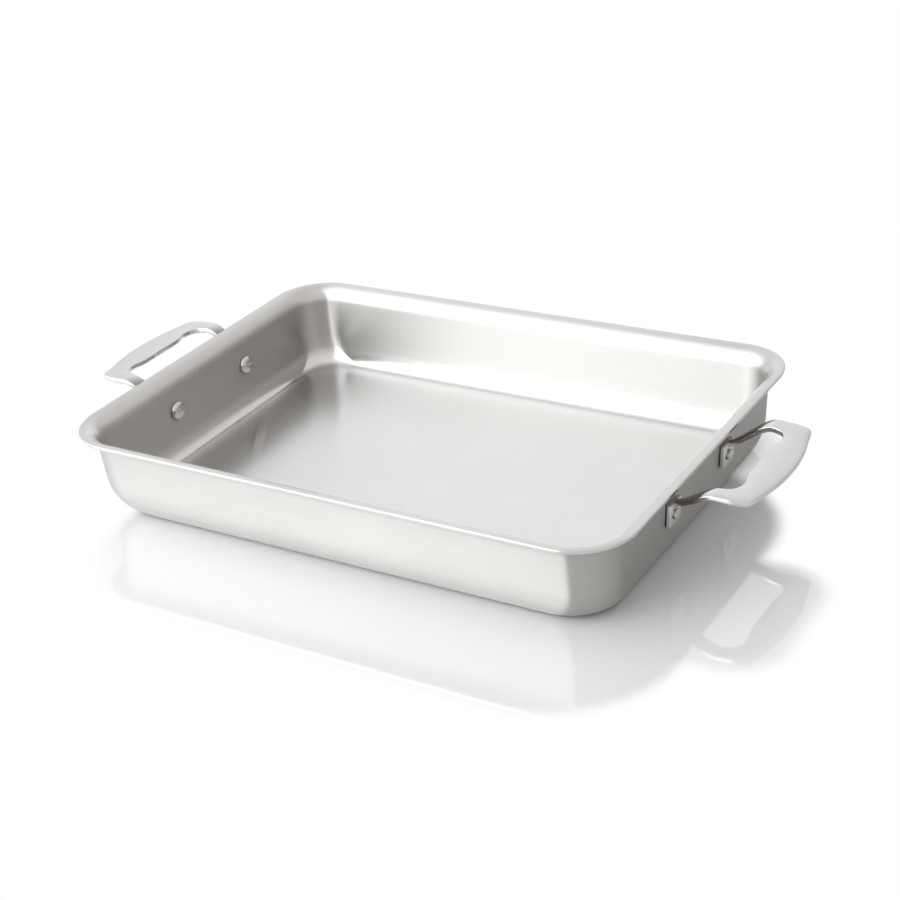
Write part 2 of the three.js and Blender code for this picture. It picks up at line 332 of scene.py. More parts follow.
def burnish_share(number):
    inset = section[number][0]
    height = section[number][2]
    if number >= len(inside):
        return RIM_BURNISH * max(1 - inset / UNDER_BEND_GROUND, 0)
    on_floor = (BURNISH_HIGH - height) / (BURNISH_HIGH - BURNISH_LOW)
    on_bend = (BEND_GROUND - inset) / (BEND_GROUND - BEND_BURNISHED)
    return min(max(on_floor, RIM_BURNISH * min(on_bend, 1), 0), 1)


burnish = [burnish_share(number) for number in range(len(section))]
floor_start = inside[-len(FLOOR_SHARES)][0]
print("section:", len(section), "levels, floor starts", round(floor_start / MM, 1), "mm in")

# %% [markdown]
# ## A ring to carry the section round
# The ring is a rounded rectangle without a size yet. Each of its points says which corner of the rectangle
# it belongs to, from -1 to 1 each way, and the angle at which it sits on that corner's arc. A tree can then
# work out any level of the pan: the corner's centre follows from the inset, and the arc from the radius.

# %% Ring of corner places and arc angles
CORNER_STEPS = 22
SIDE_STEPS = 20
CORNERS = ((1, 1), (-1, 1), (-1, -1), (1, -1))


def ring_points():
    points = []
    for quarter, corner in enumerate(CORNERS):
        beside = CORNERS[(quarter + 1) % 4]
        for step in range(CORNER_STEPS):
            points.append((*corner, (quarter + step / CORNER_STEPS) * QUARTER_TURN))
        for step in range(SIDE_STEPS):
            place = [between(a, b, step / SIDE_STEPS) for a, b in zip(corner, beside)]
            points.append((*place, (quarter + 1) * QUARTER_TURN))
    points.append((1, 1, 4 * QUARTER_TURN))
    return points


def point_mesh(name, points):
    mesh = bpy.data.meshes.new(name)
    mesh.from_pydata(points, [], [])
    return mesh


def scene_object(name, mesh):
    made = bpy.data.objects.new(name, mesh)
    bpy.context.scene.collection.objects.link(made)
    return made


def distances(points):
    steps = np.linalg.norm(np.diff(np.array(points), axis=0), axis=1)
    return np.concatenate([[0], np.cumsum(steps)])


def give_values(mesh, name, values):
    mesh.attributes.new(name, "FLOAT", "POINT").data.foreach_set("value", values)


ring = ring_points()
rim_places = []
for across_x, across_y, angle in ring:
    rim_places.append((
        across_x * (RIM_LENGTH / 2 - RIM_CORNER_RADIUS) + RIM_CORNER_RADIUS * math.cos(angle),
        across_y * (RIM_WIDTH / 2 - RIM_CORNER_RADIUS) + RIM_CORNER_RADIUS * math.sin(angle),
    ))
ring_object = scene_object("rim_ring", point_mesh("rim_ring", ring))
give_values(ring_object.data, "distance", distances(rim_places))
section_mesh = point_mesh("pan_section", section)
give_values(section_mesh, "distance", distances([(inset, height) for inset, corner, height in section]))
give_values(section_mesh, "burnish", burnish)
print("ring:", len(ring), "points,", round(distances(rim_places)[-1] / MM), "mm round the rim")

# %% [markdown]
# ## The pressing tree
# The tree lays a plain grid of ring steps by section levels, then moves each grid point to its place on the
# pan. It also writes the UV map for the grinding lines: round the rim and down the wall on the walls, and
# along and across on the floor, because the sheet was ground flat. The burnish of each level is passed on
# in the same way. A tree suits this shape better than hand-made faces, since a change to one size carries
# through to every face.

# %% Geometry nodes that press the pan
MERGE_DISTANCE = 0.001 * MM  # points closer than this are the same point


def new_tree(name, sockets):
    tree = bpy.data.node_groups.new(name, "GeometryNodeTree")
    tree.interface.new_socket("Geometry", in_out="INPUT", socket_type="NodeSocketGeometry")
    for label, kind in sockets:
        tree.interface.new_socket(label, in_out="INPUT", socket_type=kind)
    tree.interface.new_socket("Geometry", in_out="OUTPUT", socket_type="NodeSocketGeometry")
    return tree


def grid_numbers(tree, levels):
    index = add_node(tree, "GeometryNodeInputIndex").outputs["Index"]
    level = add_node(tree, "ShaderNodeMath", {0: index, 1: levels}, operation="MODULO").outputs[0]
    row = add_node(tree, "ShaderNodeMath", {0: index, 1: levels}, operation="DIVIDE").outputs[0]
    step = add_node(tree, "ShaderNodeMath", {0: row}, operation="FLOOR").outputs[0]
    return level, step


def dress_and_end(tree, shape, steel):
    real = add_node(tree, "GeometryNodeRealizeInstances", {"Geometry": shape})
    dressed = add_node(tree, "GeometryNodeSetMaterial", {
        "Geometry": real.outputs["Geometry"], "Material": steel,
    })
    add_node(tree, "NodeGroupOutput", {"Geometry": dressed.outputs["Geometry"]})


def pressing_tree():
    tree = new_tree("press_pan", [
        ("Ring", "NodeSocketObject"),
        ("Rim length", "NodeSocketFloat"),
        ("Rim width", "NodeSocketFloat"),
        ("Floor height", "NodeSocketFloat"),
        ("Steel", "NodeSocketMaterial"),
    ])
    given = add_node(tree, "NodeGroupInput")
    levels_mesh = given.outputs["Geometry"]
    ring_info = add_node(tree, "GeometryNodeObjectInfo", {"Object": given.outputs["Ring"]})
    ring_mesh = ring_info.outputs["Geometry"]
    counts = []
    for counted in (levels_mesh, ring_mesh):
        size = add_node(tree, "GeometryNodeAttributeDomainSize", {"Geometry": counted})
        counts.append(size.outputs["Point Count"])
    levels, steps = counts
    grid = add_node(tree, "GeometryNodeMeshGrid", {"Vertices X": steps, "Vertices Y": levels})

    # Which step of the ring and which level of the section each grid point stands for
    level, step = grid_numbers(tree, levels)
    position = add_node(tree, "GeometryNodeInputPosition").outputs["Position"]
    named = []
    for name in ("distance", "burnish"):
        read = add_node(tree, "GeometryNodeInputNamedAttribute", {"Name": name}, data_type="FLOAT")
        named.append(read.outputs["Attribute"])
    distance, burnish = named
    sampled = []
    for source, value, number, kind in (
        (levels_mesh, position, level, "FLOAT_VECTOR"),
        (ring_mesh, position, step, "FLOAT_VECTOR"),
        (levels_mesh, distance, level, "FLOAT"),
        (ring_mesh, distance, step, "FLOAT"),
        (levels_mesh, burnish, level, "FLOAT"),
    ):
        sample = add_node(tree, "GeometryNodeSampleIndex", {
            "Geometry": source, "Value": value, "Index": number,
        }, data_type=kind)
        sampled.append(sample.outputs["Value"])
    section_point, ring_point, down, around, rubbed = sampled

    # Place on the pan: the corner's centre plus a step along its arc
    level_parts = add_node(tree, "ShaderNodeSeparateXYZ", {"Vector": section_point})
    ring_parts = add_node(tree, "ShaderNodeSeparateXYZ", {"Vector": ring_point})
    inset, corner, height = level_parts.outputs
    across_x, across_y, angle = ring_parts.outputs
    taken = add_node(tree, "ShaderNodeMath", {0: inset, 1: corner}, operation="ADD").outputs[0]
    places = []
    for size, across, wave in (("Rim length", across_x, "COSINE"), ("Rim width", across_y, "SINE")):
        half = add_node(tree, "ShaderNodeMath", {
            0: given.outputs[size], 1: 0.5,
        }, operation="MULTIPLY").outputs[0]
        centre = add_node(tree, "ShaderNodeMath", {0: half, 1: taken}, operation="SUBTRACT").outputs[0]
        share = add_node(tree, "ShaderNodeMath", {0: angle}, operation=wave).outputs[0]
        arc = add_node(tree, "ShaderNodeMath", {0: share, 1: corner}, operation="MULTIPLY").outputs[0]
        places.append(add_node(
            tree, "ShaderNodeMath", {0: across, 1: centre, 2: arc}, operation="MULTIPLY_ADD").outputs[0])
    place = add_node(tree, "ShaderNodeCombineXYZ", {"X": places[0], "Y": places[1], "Z": height})

    # Grinding lines run round the walls, and along the floor on both of its faces
    on_floor = add_node(tree, "FunctionNodeCompare", {
        "A": height, "B": given.outputs["Floor height"],
    }, data_type="FLOAT", operation="LESS_EQUAL").outputs["Result"]
    wall_map = add_node(tree, "ShaderNodeCombineXYZ", {"X": around, "Y": down})
    brushed = add_node(tree, "GeometryNodeSwitch", {
        "Switch": on_floor, "False": wall_map.outputs["Vector"], "True": place.outputs["Vector"],
    }, input_type="VECTOR")
    captured = add_node(tree, "GeometryNodeCaptureAttribute", {"Geometry": grid.outputs["Mesh"]})
    for label, kind, value in (
        ("Place", "VECTOR", place.outputs["Vector"]),
        ("Brushed", "VECTOR", brushed.outputs["Output"]),
        ("Burnish", "FLOAT", rubbed),
    ):
        captured.capture_items.new(kind, label)
        tree.links.new(value, captured.inputs[label])
    mapped = add_node(tree, "GeometryNodeStoreNamedAttribute", {
        "Geometry": captured.outputs["Geometry"], "Name": "brushed", "Value": captured.outputs["Brushed"],
    }, data_type="FLOAT2", domain="CORNER")
    rubbed_map = add_node(tree, "GeometryNodeStoreNamedAttribute", {
        "Geometry": mapped.outputs["Geometry"], "Name": "burnish", "Value": captured.outputs["Burnish"],
    }, data_type="FLOAT", domain="POINT")
    pressed = add_node(tree, "GeometryNodeSetPosition", {
        "Geometry": rubbed_map.outputs["Geometry"], "Position": captured.outputs["Place"],
    })
    closed = add_node(tree, "GeometryNodeMergeByDistance", {
        "Geometry": pressed.outputs["Geometry"], "Distance": MERGE_DISTANCE,
    })
    smooth = add_node(tree, "GeometryNodeSetShadeSmooth", {"Geometry": closed.outputs["Geometry"]})
    dress_and_end(tree, smooth.outputs["Geometry"], given.outputs["Steel"])
    return tree


pan_tree = pressing_tree()
print("tree:", pan_tree.name, "with", len(pan_tree.nodes), "nodes")

# %% [markdown]
# ## Press it, and drill it
# A tree works through a modifier. Its inputs are set by their identifiers before the object is evaluated,
# and the result is then taken as a plain mesh. The pan is drilled for the four rivets by a Boolean that
# follows the tree. The seats of the rivets lie on the end walls: a seat's x axis points out through the
# wall, square to it, and its z axis runs up the wall.

# %% Rivet seats and drills
RIVET_DROP = 23.5 * MM
RIVET_SPACING = 71 * MM
SHANK_RADIUS = 2.7 * MM
HOLE_RADIUS = 3.0 * MM
DRILL_STEPS = 40
SEAT_GAP = 0.3 * MM  # stands in for faces that are drawn tight
PAD_THICKNESS = 2.5 * MM
PAD_INSIDE = SHEET + SEAT_GAP
PAD_OUTSIDE = PAD_INSIDE + PAD_THICKNESS
SEAT_HEIGHT = PAN_HEIGHT - RIVET_DROP
WALL_INSIDE = RIM_LENGTH / 2 - wall_inset(0, SEAT_HEIGHT)
seats = {}
for end, outward, turn in (("right", 1, 0), ("left", -1, HALF_TURN)):
    for place, across in (("front", -1), ("back", 1)):
        spot = Vector((outward * WALL_INSIDE, across * RIVET_SPACING / 2, SEAT_HEIGHT))
        seats[end + "_" + place] = (spot, (0, WALL_DRAFT, turn))


def seat_matrix(name):
    place, turn = seats[name]
    return Matrix.LocRotScale(place, Euler(turn), None)


def mesh_from(shape, name):
    mesh = bpy.data.meshes.new(name)
    shape.to_mesh(mesh)
    shape.free()
    return mesh


def drill_mesh(names):
    shape = bmesh.new()
    along_x = Matrix.Rotation(QUARTER_TURN, 4, "Y")
    for name in names:
        bmesh.ops.create_cone(
            shape, cap_ends=True, segments=DRILL_STEPS, radius1=HOLE_RADIUS, radius2=HOLE_RADIUS,
            depth=4 * PAD_OUTSIDE, matrix=seat_matrix(name) @ along_x)
    return mesh_from(shape, "drills")


pan_drills = scene_object("pan_drills", drill_mesh(seats))
print("seats:", ", ".join(seats), "at", round(SEAT_HEIGHT / MM, 1), "mm")

# %% Take a finished mesh from an object with modifiers
SHARP_ANGLE = math.radians(35)
FLOOR_MARGIN = 0.01 * MM  # keeps rounding from lifting a floor point off the floor


def run_tree(target, tree, values):
    modifier = target.modifiers.new(tree.name, "NODES")
    modifier.node_group = tree
    for item in tree.interface.items_tree:
        if item.item_type == "SOCKET" and item.in_out == "INPUT" and item.name in values:
            modifier[item.identifier] = values[item.name]


def combine(target, tool, operation):
    modifier = target.modifiers.new(operation.lower(), "BOOLEAN")
    modifier.operation = operation
    modifier.solver = "EXACT"
    modifier.object = tool


def finished_piece(name, source):
    evaluated = source.evaluated_get(bpy.context.evaluated_depsgraph_get())
    mesh = bpy.data.meshes.new_from_object(evaluated)
    mesh.name = name
    source.modifiers.clear()
    bpy.data.objects.remove(source)
    mesh.set_sharp_from_angle(angle=SHARP_ANGLE)
    return scene_object(name, mesh)


def solid_volume(mesh):
    shape = bmesh.new()
    shape.from_mesh(mesh)
    volume = shape.calc_volume(signed=True)
    open_edges = sum(not edge.is_manifold for edge in shape.edges)
    shape.free()
    return volume, open_edges


def tell(piece):
    volume, open_edges = solid_volume(piece.data)
    triangles = sum(len(face.vertices) - 2 for face in piece.data.polygons)
    print(piece.name, triangles, "triangles,", round(volume / MM ** 3), "mm3,", open_edges, "open edges")


blank = scene_object("pan_blank", section_mesh)
run_tree(blank, pan_tree, {
    "Ring": ring_object,
    "Rim length": RIM_LENGTH,
    "Rim width": RIM_WIDTH,
    "Floor height": SHEET + FLOOR_MARGIN,
    "Steel": pan_steel,
})
combine(blank, pan_drills, "DIFFERENCE")
pan = finished_piece("pressed_pan", blank)
bpy.data.objects.remove(pan_drills)
bpy.data.objects.remove(ring_object)
tell(pan)

# %% [markdown]
# ## The cast handles
# Each handle is one casting: two small pads lie on the wall, two legs climb from them under the rim, and a
# broad grip joins the legs. Seen from above the loop has an outer edge and the edge of the finger opening.
# Smooth curves run through matching points of both, and a rounded section is carried along between them.
# The pads are bevelled blocks that are joined on afterwards.

# %% Side view of the strap: climb and thickness
PAD_WIDTH = 14 * MM
PAD_HEIGHT = 14 * MM
PAD_LIFT = 0.9 * MM
ROOT_DROP = 16.2 * MM
GRIP_DROP = 1.6 * MM
GRIP_FALL = 0.05
CLIMB_START = -11 * MM
CLIMB_END = 19 * MM
ROOT_THICKNESS = 2.8 * MM
GRIP_THICKNESS = 3.7 * MM
TOP_EDGE_RADIUS = 0.7 * MM
UNDER_EDGE_RADIUS = 1.9 * MM
CROWN = 0.4 * MM


def climbed(out):
    share = min(max((out - CLIMB_START) / (CLIMB_END - CLIMB_START), 0), 1)
    return share * share * (3 - 2 * share)


def strap_top(out):
    return between(PAN_HEIGHT - ROOT_DROP, PAN_HEIGHT - GRIP_DROP - GRIP_FALL * out, climbed(out))


def strap_thickness(out):
    return between(ROOT_THICKNESS, GRIP_THICKNESS, climbed(out))


def strap_point(plan, depth):
    out, across = plan
    nudge = 0.01 * MM
    slope = (strap_top(out + nudge) - strap_top(out - nudge)) / (2 * nudge)
    length = math.hypot(1, slope)
    return (RIM_LENGTH / 2 + out + depth * slope / length, across, strap_top(out) - depth / length)


ON_GRIP = 30 * MM
print("grip's top is", round((PAN_HEIGHT - strap_top(ON_GRIP)) / MM, 2), "mm under the rim's top")

# %% Plan of the loop: opening and outer edge
GRIP_REACH = 44.4 * MM
GRIP_WIDTH = 19.2 * MM
GRIP_BOW = 4.6 * MM
SHOULDER_SPACING = 67 * MM
SHOULDER_WIDTH = 12.6 * MM
HANDLE_WIDTH = 91 * MM
LEG_WIDTH = 9.1 * MM
LEG_FLARE_END = 8 * MM
ROOT_WIDTH = 5 * MM
CORNER_RADIUS = 9 * MM
OPENING_RADIUS = 10 * MM
SLANT = 1 - math.sqrt(0.5)


def half_edges():
    root = SEAT_GAP + PAD_THICKNESS / 2 - wall_inset(SHEET, PAN_HEIGHT - ROOT_DROP)
    root_outer = (RIVET_SPACING + ROOT_WIDTH) / 2
    root_inner = (RIVET_SPACING - ROOT_WIDTH) / 2
    leg_outer = HANDLE_WIDTH / 2
    leg_inner = leg_outer - LEG_WIDTH
    shoulder = SHOULDER_SPACING / 2
    shoulder_reach = GRIP_REACH - GRIP_BOW
    opening_end = shoulder_reach - SHOULDER_WIDTH
    flare = (root + LEG_FLARE_END) / 2
    outer = [
        (root, root_outer),
        (flare, (root_outer + leg_outer) / 2),
        (LEG_FLARE_END, leg_outer),
        (shoulder_reach - CORNER_RADIUS, leg_outer),
        (shoulder_reach - CORNER_RADIUS * SLANT, leg_outer - CORNER_RADIUS * SLANT),
        (shoulder_reach, shoulder),
        (GRIP_REACH - GRIP_BOW / 4, shoulder / 2),
        (GRIP_REACH, 0),
    ]
    inner = [
        (root, root_inner),
        (flare, (root_inner + leg_inner) / 2),
        (LEG_FLARE_END, leg_inner),
        (opening_end - OPENING_RADIUS, leg_inner),
        (opening_end - OPENING_RADIUS * SLANT, leg_inner - OPENING_RADIUS * SLANT),
        (opening_end, leg_inner - OPENING_RADIUS),
        (GRIP_REACH - GRIP_WIDTH, shoulder / 2),
        (GRIP_REACH - GRIP_WIDTH, 0),
    ]
    return inner, outer


def whole_edge(half):
    mirrored = [(out, -across) for out, across in half[-2::-1]]
    return np.array(half + mirrored)


def smooth_through(points, steps):
    ends = np.vstack([2 * points[0] - points[1], points, 2 * points[-1] - points[-2]])
    curve = []
    for place in np.linspace(0, len(points) - 1, steps):
        span = min(int(place), len(points) - 2)
        share = place - span
        before, start, end, after = ends[span:span + 4]
        gap_before = np.linalg.norm(start - before) ** 0.5
        gap = np.linalg.norm(end - start) ** 0.5
        gap_after = np.linalg.norm(after - end) ** 0.5
        leave = (start - before) / gap_before - (end - before) / (gap_before + gap) + (end - start) / gap
        arrive = (end - start) / gap - (after - start) / (gap + gap_after) + (after - end) / gap_after
        leave, arrive = leave * gap, arrive * gap
        bend = -3 * start + 3 * end - 2 * leave - arrive
        twist = 2 * start - 2 * end + leave + arrive
        curve.append(start + leave * share + bend * share ** 2 + twist * share ** 3)
    return np.array(curve)


STRAP_STEPS = 281
inner_edge, outer_edge = [smooth_through(whole_edge(half), STRAP_STEPS) for half in half_edges()]
opening = inner_edge[:, 1].max() - inner_edge[:, 1].min()
print("finger opening:", round(opening / MM, 1), "mm wide")

# %% Loft the strap between both edges
STRAP_EDGE_STEPS = 7
CROWN_STEPS = 9


def strap_section(inner, outer):
    width = np.linalg.norm(outer - inner)

    def place(from_inner, depth, from_under=False):
        plan = inner + (outer - inner) * (from_inner / width)
        return strap_point(plan, strap_thickness(plan[0]) - depth if from_under else depth)

    arc = np.linspace(0, QUARTER_TURN, STRAP_EDGE_STEPS)
    top, under = [
        [(radius * (1 - math.cos(turn)), radius * (1 - math.sin(turn))) for turn in arc]
        for radius in (TOP_EDGE_RADIUS, UNDER_EDGE_RADIUS)
    ]
    points = [place(near, deep) for near, deep in top]
    for share in np.linspace(0, 1, CROWN_STEPS)[1:-1]:
        rise = CROWN * (1 - (2 * share - 1) ** 2)
        points.append(place(between(TOP_EDGE_RADIUS, width - TOP_EDGE_RADIUS, share), -rise))
    points += [place(width - near, deep) for near, deep in top[::-1]]
    points += [place(width - near, deep, True) for near, deep in under]
    points.append(place(width / 2, 0, True))
    points += [place(near, deep, True) for near, deep in under[::-1]]
    return points


def loft(sections):
    count = len(sections[0])
    faces = [tuple(range(count))]
    for ring_index in range(len(sections) - 1):
        for step in range(count):
            here = ring_index * count + step
            beside = ring_index * count + (step + 1) % count
            faces.append((here, here + count, beside + count, beside))
    last = (len(sections) - 1) * count
    faces.append(tuple(range(last + count - 1, last - 1, -1)))
    mesh = bpy.data.meshes.new("strap")
    mesh.from_pydata([point for section_points in sections for point in section_points], [], faces)
    if solid_volume(mesh)[0] < 0:
        mesh.flip_normals()
    mesh.shade_smooth()
    return mesh


strap_mesh = loft([strap_section(*ends) for ends in zip(inner_edge, outer_edge)])
print("strap:", len(strap_mesh.polygons), "faces,", round(solid_volume(strap_mesh)[0] / MM ** 3), "mm3")

# %% Pads, drills and both handles
PAD_BEVEL = 0.6 * MM
PAD_BEVEL_STEPS = 3


def pad_mesh(names):
    shape = bmesh.new()
    for name in names:
        block = bmesh.ops.create_cube(shape, size=1)["verts"]
        bmesh.ops.scale(shape, vec=(PAD_THICKNESS, PAD_WIDTH, PAD_HEIGHT), verts=block)
        bmesh.ops.translate(shape, vec=(PAD_INSIDE + PAD_THICKNESS / 2, 0, PAD_LIFT), verts=block)
        bmesh.ops.transform(shape, matrix=seat_matrix(name), verts=block)
    bmesh.ops.bevel(
        shape, geom=list(shape.edges), offset=PAD_BEVEL, segments=PAD_BEVEL_STEPS, profile=0.5,
        affect="EDGES")
    mesh = mesh_from(shape, "pads")
    mesh.shade_smooth()
    return mesh


def cast_handle(end):
    casting = scene_object("casting", strap_mesh.copy())
    pads = scene_object("pads", pad_mesh(("right_front", "right_back")))
    drills = scene_object("handle_drills", drill_mesh(("right_front", "right_back")))
    combine(casting, pads, "UNION")
    combine(casting, drills, "DIFFERENCE")
    handle = finished_piece("cast_handle_" + end, casting)
    handle.data.materials.append(handle_steel)
    bpy.data.objects.remove(pads)
    bpy.data.objects.remove(drills)
    if end == "left":
        handle.data.transform(Matrix.Rotation(HALF_TURN, 4, "Z"))
    return handle


handles = {end: cast_handle(end) for end in ("right", "left")}
for handle in handles.values():
    tell(handle)

# %% [markdown]
# ## The rivets
# A rivet is a wire stub with a domed head. It goes through wall and pad from inside the pan, and its end
# is set to a short flat button outside. All four are alike, so one half section is turned into a solid by a
# tree, and the same tree sets it on a seat. The tree is asked for one seat at a time, so that each rivet
# stays a piece of its own.

# %% Half section of a rivet
HEAD_RADIUS = 5.8 * MM
HEAD_HEIGHT = 3.2 * MM
HEAD_EDGE = 0.5 * MM
TAIL_RADIUS = 3.3 * MM
TAIL_HEIGHT = 1.6 * MM
TAIL_EDGE = 1.1 * MM
DOME_STEPS = 15
RIVET_STEPS = 56


def dome(radius, height, edge, base, way):
    profile = []
    for turn in np.linspace(0, QUARTER_TURN, DOME_STEPS):
        rise = edge + (height - edge) * math.cos(turn)
        profile.append((radius * math.sin(turn), 0, base + way * rise))
    return profile + [(radius, 0, base), (SHANK_RADIUS, 0, base)]


head = dome(HEAD_RADIUS, HEAD_HEIGHT, HEAD_EDGE, -SEAT_GAP, -1)
tail = dome(TAIL_RADIUS, TAIL_HEIGHT, TAIL_EDGE, PAD_OUTSIDE + SEAT_GAP, 1)
rivet_profile = head + tail[::-1]
rivet_length = tail[0][2] - head[0][2]
print("rivet:", len(rivet_profile), "profile points,", round(rivet_length / MM, 1), "mm long")

# %% Geometry nodes that turn and set a rivet
def rivet_tree():
    tree = new_tree("set_rivet", [
        ("Seats", "NodeSocketObject"),
        ("Seat", "NodeSocketInt"),
        ("Steps around", "NodeSocketInt"),
        ("Steel", "NodeSocketMaterial"),
    ])
    given = add_node(tree, "NodeGroupInput")
    profile = given.outputs["Geometry"]
    around = given.outputs["Steps around"]
    levels = add_node(tree, "GeometryNodeAttributeDomainSize", {"Geometry": profile}).outputs["Point Count"]
    columns = add_node(tree, "ShaderNodeMath", {0: around, 1: 1}, operation="ADD").outputs[0]
    grid = add_node(tree, "GeometryNodeMeshGrid", {"Vertices X": columns, "Vertices Y": levels})
    level, step = grid_numbers(tree, levels)
    share = add_node(tree, "ShaderNodeMath", {0: step, 1: around}, operation="DIVIDE").outputs[0]
    angle = add_node(tree, "ShaderNodeMath", {0: share, 1: 2 * HALF_TURN}, operation="MULTIPLY").outputs[0]
    position = add_node(tree, "GeometryNodeInputPosition").outputs["Position"]
    point = add_node(tree, "GeometryNodeSampleIndex", {
        "Geometry": profile, "Value": position, "Index": level,
    }, data_type="FLOAT_VECTOR").outputs["Value"]
    parts = add_node(tree, "ShaderNodeSeparateXYZ", {"Vector": point})
    radius, along = parts.outputs["X"], parts.outputs["Z"]
    swung = []
    for wave in ("COSINE", "SINE"):
        part = add_node(tree, "ShaderNodeMath", {0: angle}, operation=wave).outputs[0]
        swing = add_node(tree, "ShaderNodeMath", {0: radius, 1: part}, operation="MULTIPLY")
        swung.append(swing.outputs[0])
    place = add_node(tree, "ShaderNodeCombineXYZ", {"X": along, "Y": swung[0], "Z": swung[1]})
    turned = add_node(tree, "GeometryNodeSetPosition", {
        "Geometry": grid.outputs["Mesh"], "Position": place.outputs["Vector"],
    })
    closed = add_node(tree, "GeometryNodeMergeByDistance", {
        "Geometry": turned.outputs["Geometry"], "Distance": MERGE_DISTANCE,
    })
    smooth = add_node(tree, "GeometryNodeSetShadeSmooth", {"Geometry": closed.outputs["Geometry"]})

    # One seat out of the four, with the turn that its point carries
    seat_points = add_node(tree, "GeometryNodeObjectInfo", {"Object": given.outputs["Seats"]})
    turn = add_node(tree, "GeometryNodeInputNamedAttribute", {"Name": "turn"}, data_type="FLOAT_VECTOR")
    rotation = add_node(tree, "FunctionNodeEulerToRotation", {"Euler": turn.outputs["Attribute"]})
    index = add_node(tree, "GeometryNodeInputIndex").outputs["Index"]
    wanted = add_node(tree, "FunctionNodeCompare", {
        2: index, 3: given.outputs["Seat"],
    }, data_type="INT", operation="EQUAL")
    set_here = add_node(tree, "GeometryNodeInstanceOnPoints", {
        "Points": seat_points.outputs["Geometry"],
        "Selection": wanted.outputs["Result"],
        "Instance": smooth.outputs["Geometry"],
        "Rotation": rotation.outputs["Rotation"],
    })
    dress_and_end(tree, set_here.outputs["Instances"], given.outputs["Steel"])
    return tree


setting_tree = rivet_tree()
print("tree:", setting_tree.name, "with", len(setting_tree.nodes), "nodes")

# %% Set the four rivets
seat_places = [place for place, turn in seats.values()]
seat_object = scene_object("rivet_seats", point_mesh("rivet_seats", seat_places))
turns = seat_object.data.attributes.new("turn", "FLOAT_VECTOR", "POINT")
turns.data.foreach_set("vector", [part for place, turn in seats.values() for part in turn])
rivets = {}
for number, name in enumerate(seats):
    stub = scene_object("rivet_stub", point_mesh("rivet_stub", rivet_profile))
    run_tree(stub, setting_tree, {
        "Seats": seat_object, "Seat": number, "Steps around": RIVET_STEPS, "Steel": rivet_steel,
    })
    rivets[name] = finished_piece("set_rivet_" + name, stub)
    tell(rivets[name])
bpy.data.objects.remove(seat_object)

# %% [markdown]
# ## Every face outward
# A solid whose faces point inwards has a negative volume. A quick pass over all pieces turns such a mesh
# round, and then each piece is tied to the imported model: it rides on the body and stands for its CAD
# node, which is hidden.

# %% Turn and tie the pieces
def tie(piece, node):
    if solid_volume(piece.data)[0] < 0:
        piece.data.flip_normals()
    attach(piece, "root")
    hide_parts(node)


tie(pan, "pan_body")
for end, handle in handles.items():
    tie(handle, "handle_" + end)
for name, rivet in rivets.items():
    tie(rivet, "rivet_" + name)

# %% [markdown]
# ## The camera
# The picture is a product view from the right front, a little above the rim, taken with a short telephoto
# lens. The camera is placed by angles round the pan: how far round, how high, and a slight roll that tips
# the table's line. All are in degrees, and the lens is in millimetres on a 36 mm wide sensor.

# %% Camera
AIM = Vector((15.3, -8.4, 23.6)) * MM
DISTANCE = 1018.6 * MM
AROUND = math.radians(33.79)
HEIGHT = math.radians(27.557)
ROLL = math.radians(-5.863)
LENS = 69.48
SENSOR_WIDTH = 36
NEAREST = 0.05
FARTHEST = 30
back = Vector((
    math.sin(AROUND) * math.cos(HEIGHT),
    -math.cos(AROUND) * math.cos(HEIGHT),
    math.sin(HEIGHT),
))
camera = scene_object("camera", bpy.data.cameras.new("camera"))
camera.data.lens = LENS
camera.data.sensor_width = SENSOR_WIDTH
camera.data.clip_start = NEAREST
camera.data.clip_end = FARTHEST
camera.location = AIM + back * DISTANCE
camera.rotation_mode = "QUATERNION"
camera.rotation_quaternion = (-back).to_track_quat("-Z", "Y") @ Quaternion((0, 0, 1), ROLL)
bpy.context.scene.camera = camera
print("camera at", [round(side, 3) for side in camera.location])

# %% [markdown]
# ## The table
# The pan stands on a gloss white table top that runs out into a white background. Acrylic has a clear
# surface over a white body, so it shows a faint mirror image of the pan as well as its shadow. Further out
# the table turns to plain white for the camera and for reflections, which hides its edge.

# %% Gloss white acrylic table
TABLE_RADIUS = 4.0
TABLE_STEPS = 64
TABLE_DROP = 0.2 * MM
TABLE_GLOSS = 0.04
TABLE_COLOUR = "#DADCDE"

# Where the camera sees the shadow and the mirror image: a box round each centre, and the distances from it
# at which the table starts to turn white and is white, all in millimetres
SHADES = (
    {"centre": (33.5, -62, 0), "half": (108.5, 57, 0), "fade": (64, 78)},
    {"centre": (222, -68, 0), "half": (6, 22, 0), "fade": (22, 36)},
    {"centre": (120, 60, 0), "half": (15, 35, 0), "fade": (15, 55)},
)

# Between these distances from the pan's middle the table turns white in reflections
ROOM_START = 340 * MM
ROOM_END = 620 * MM


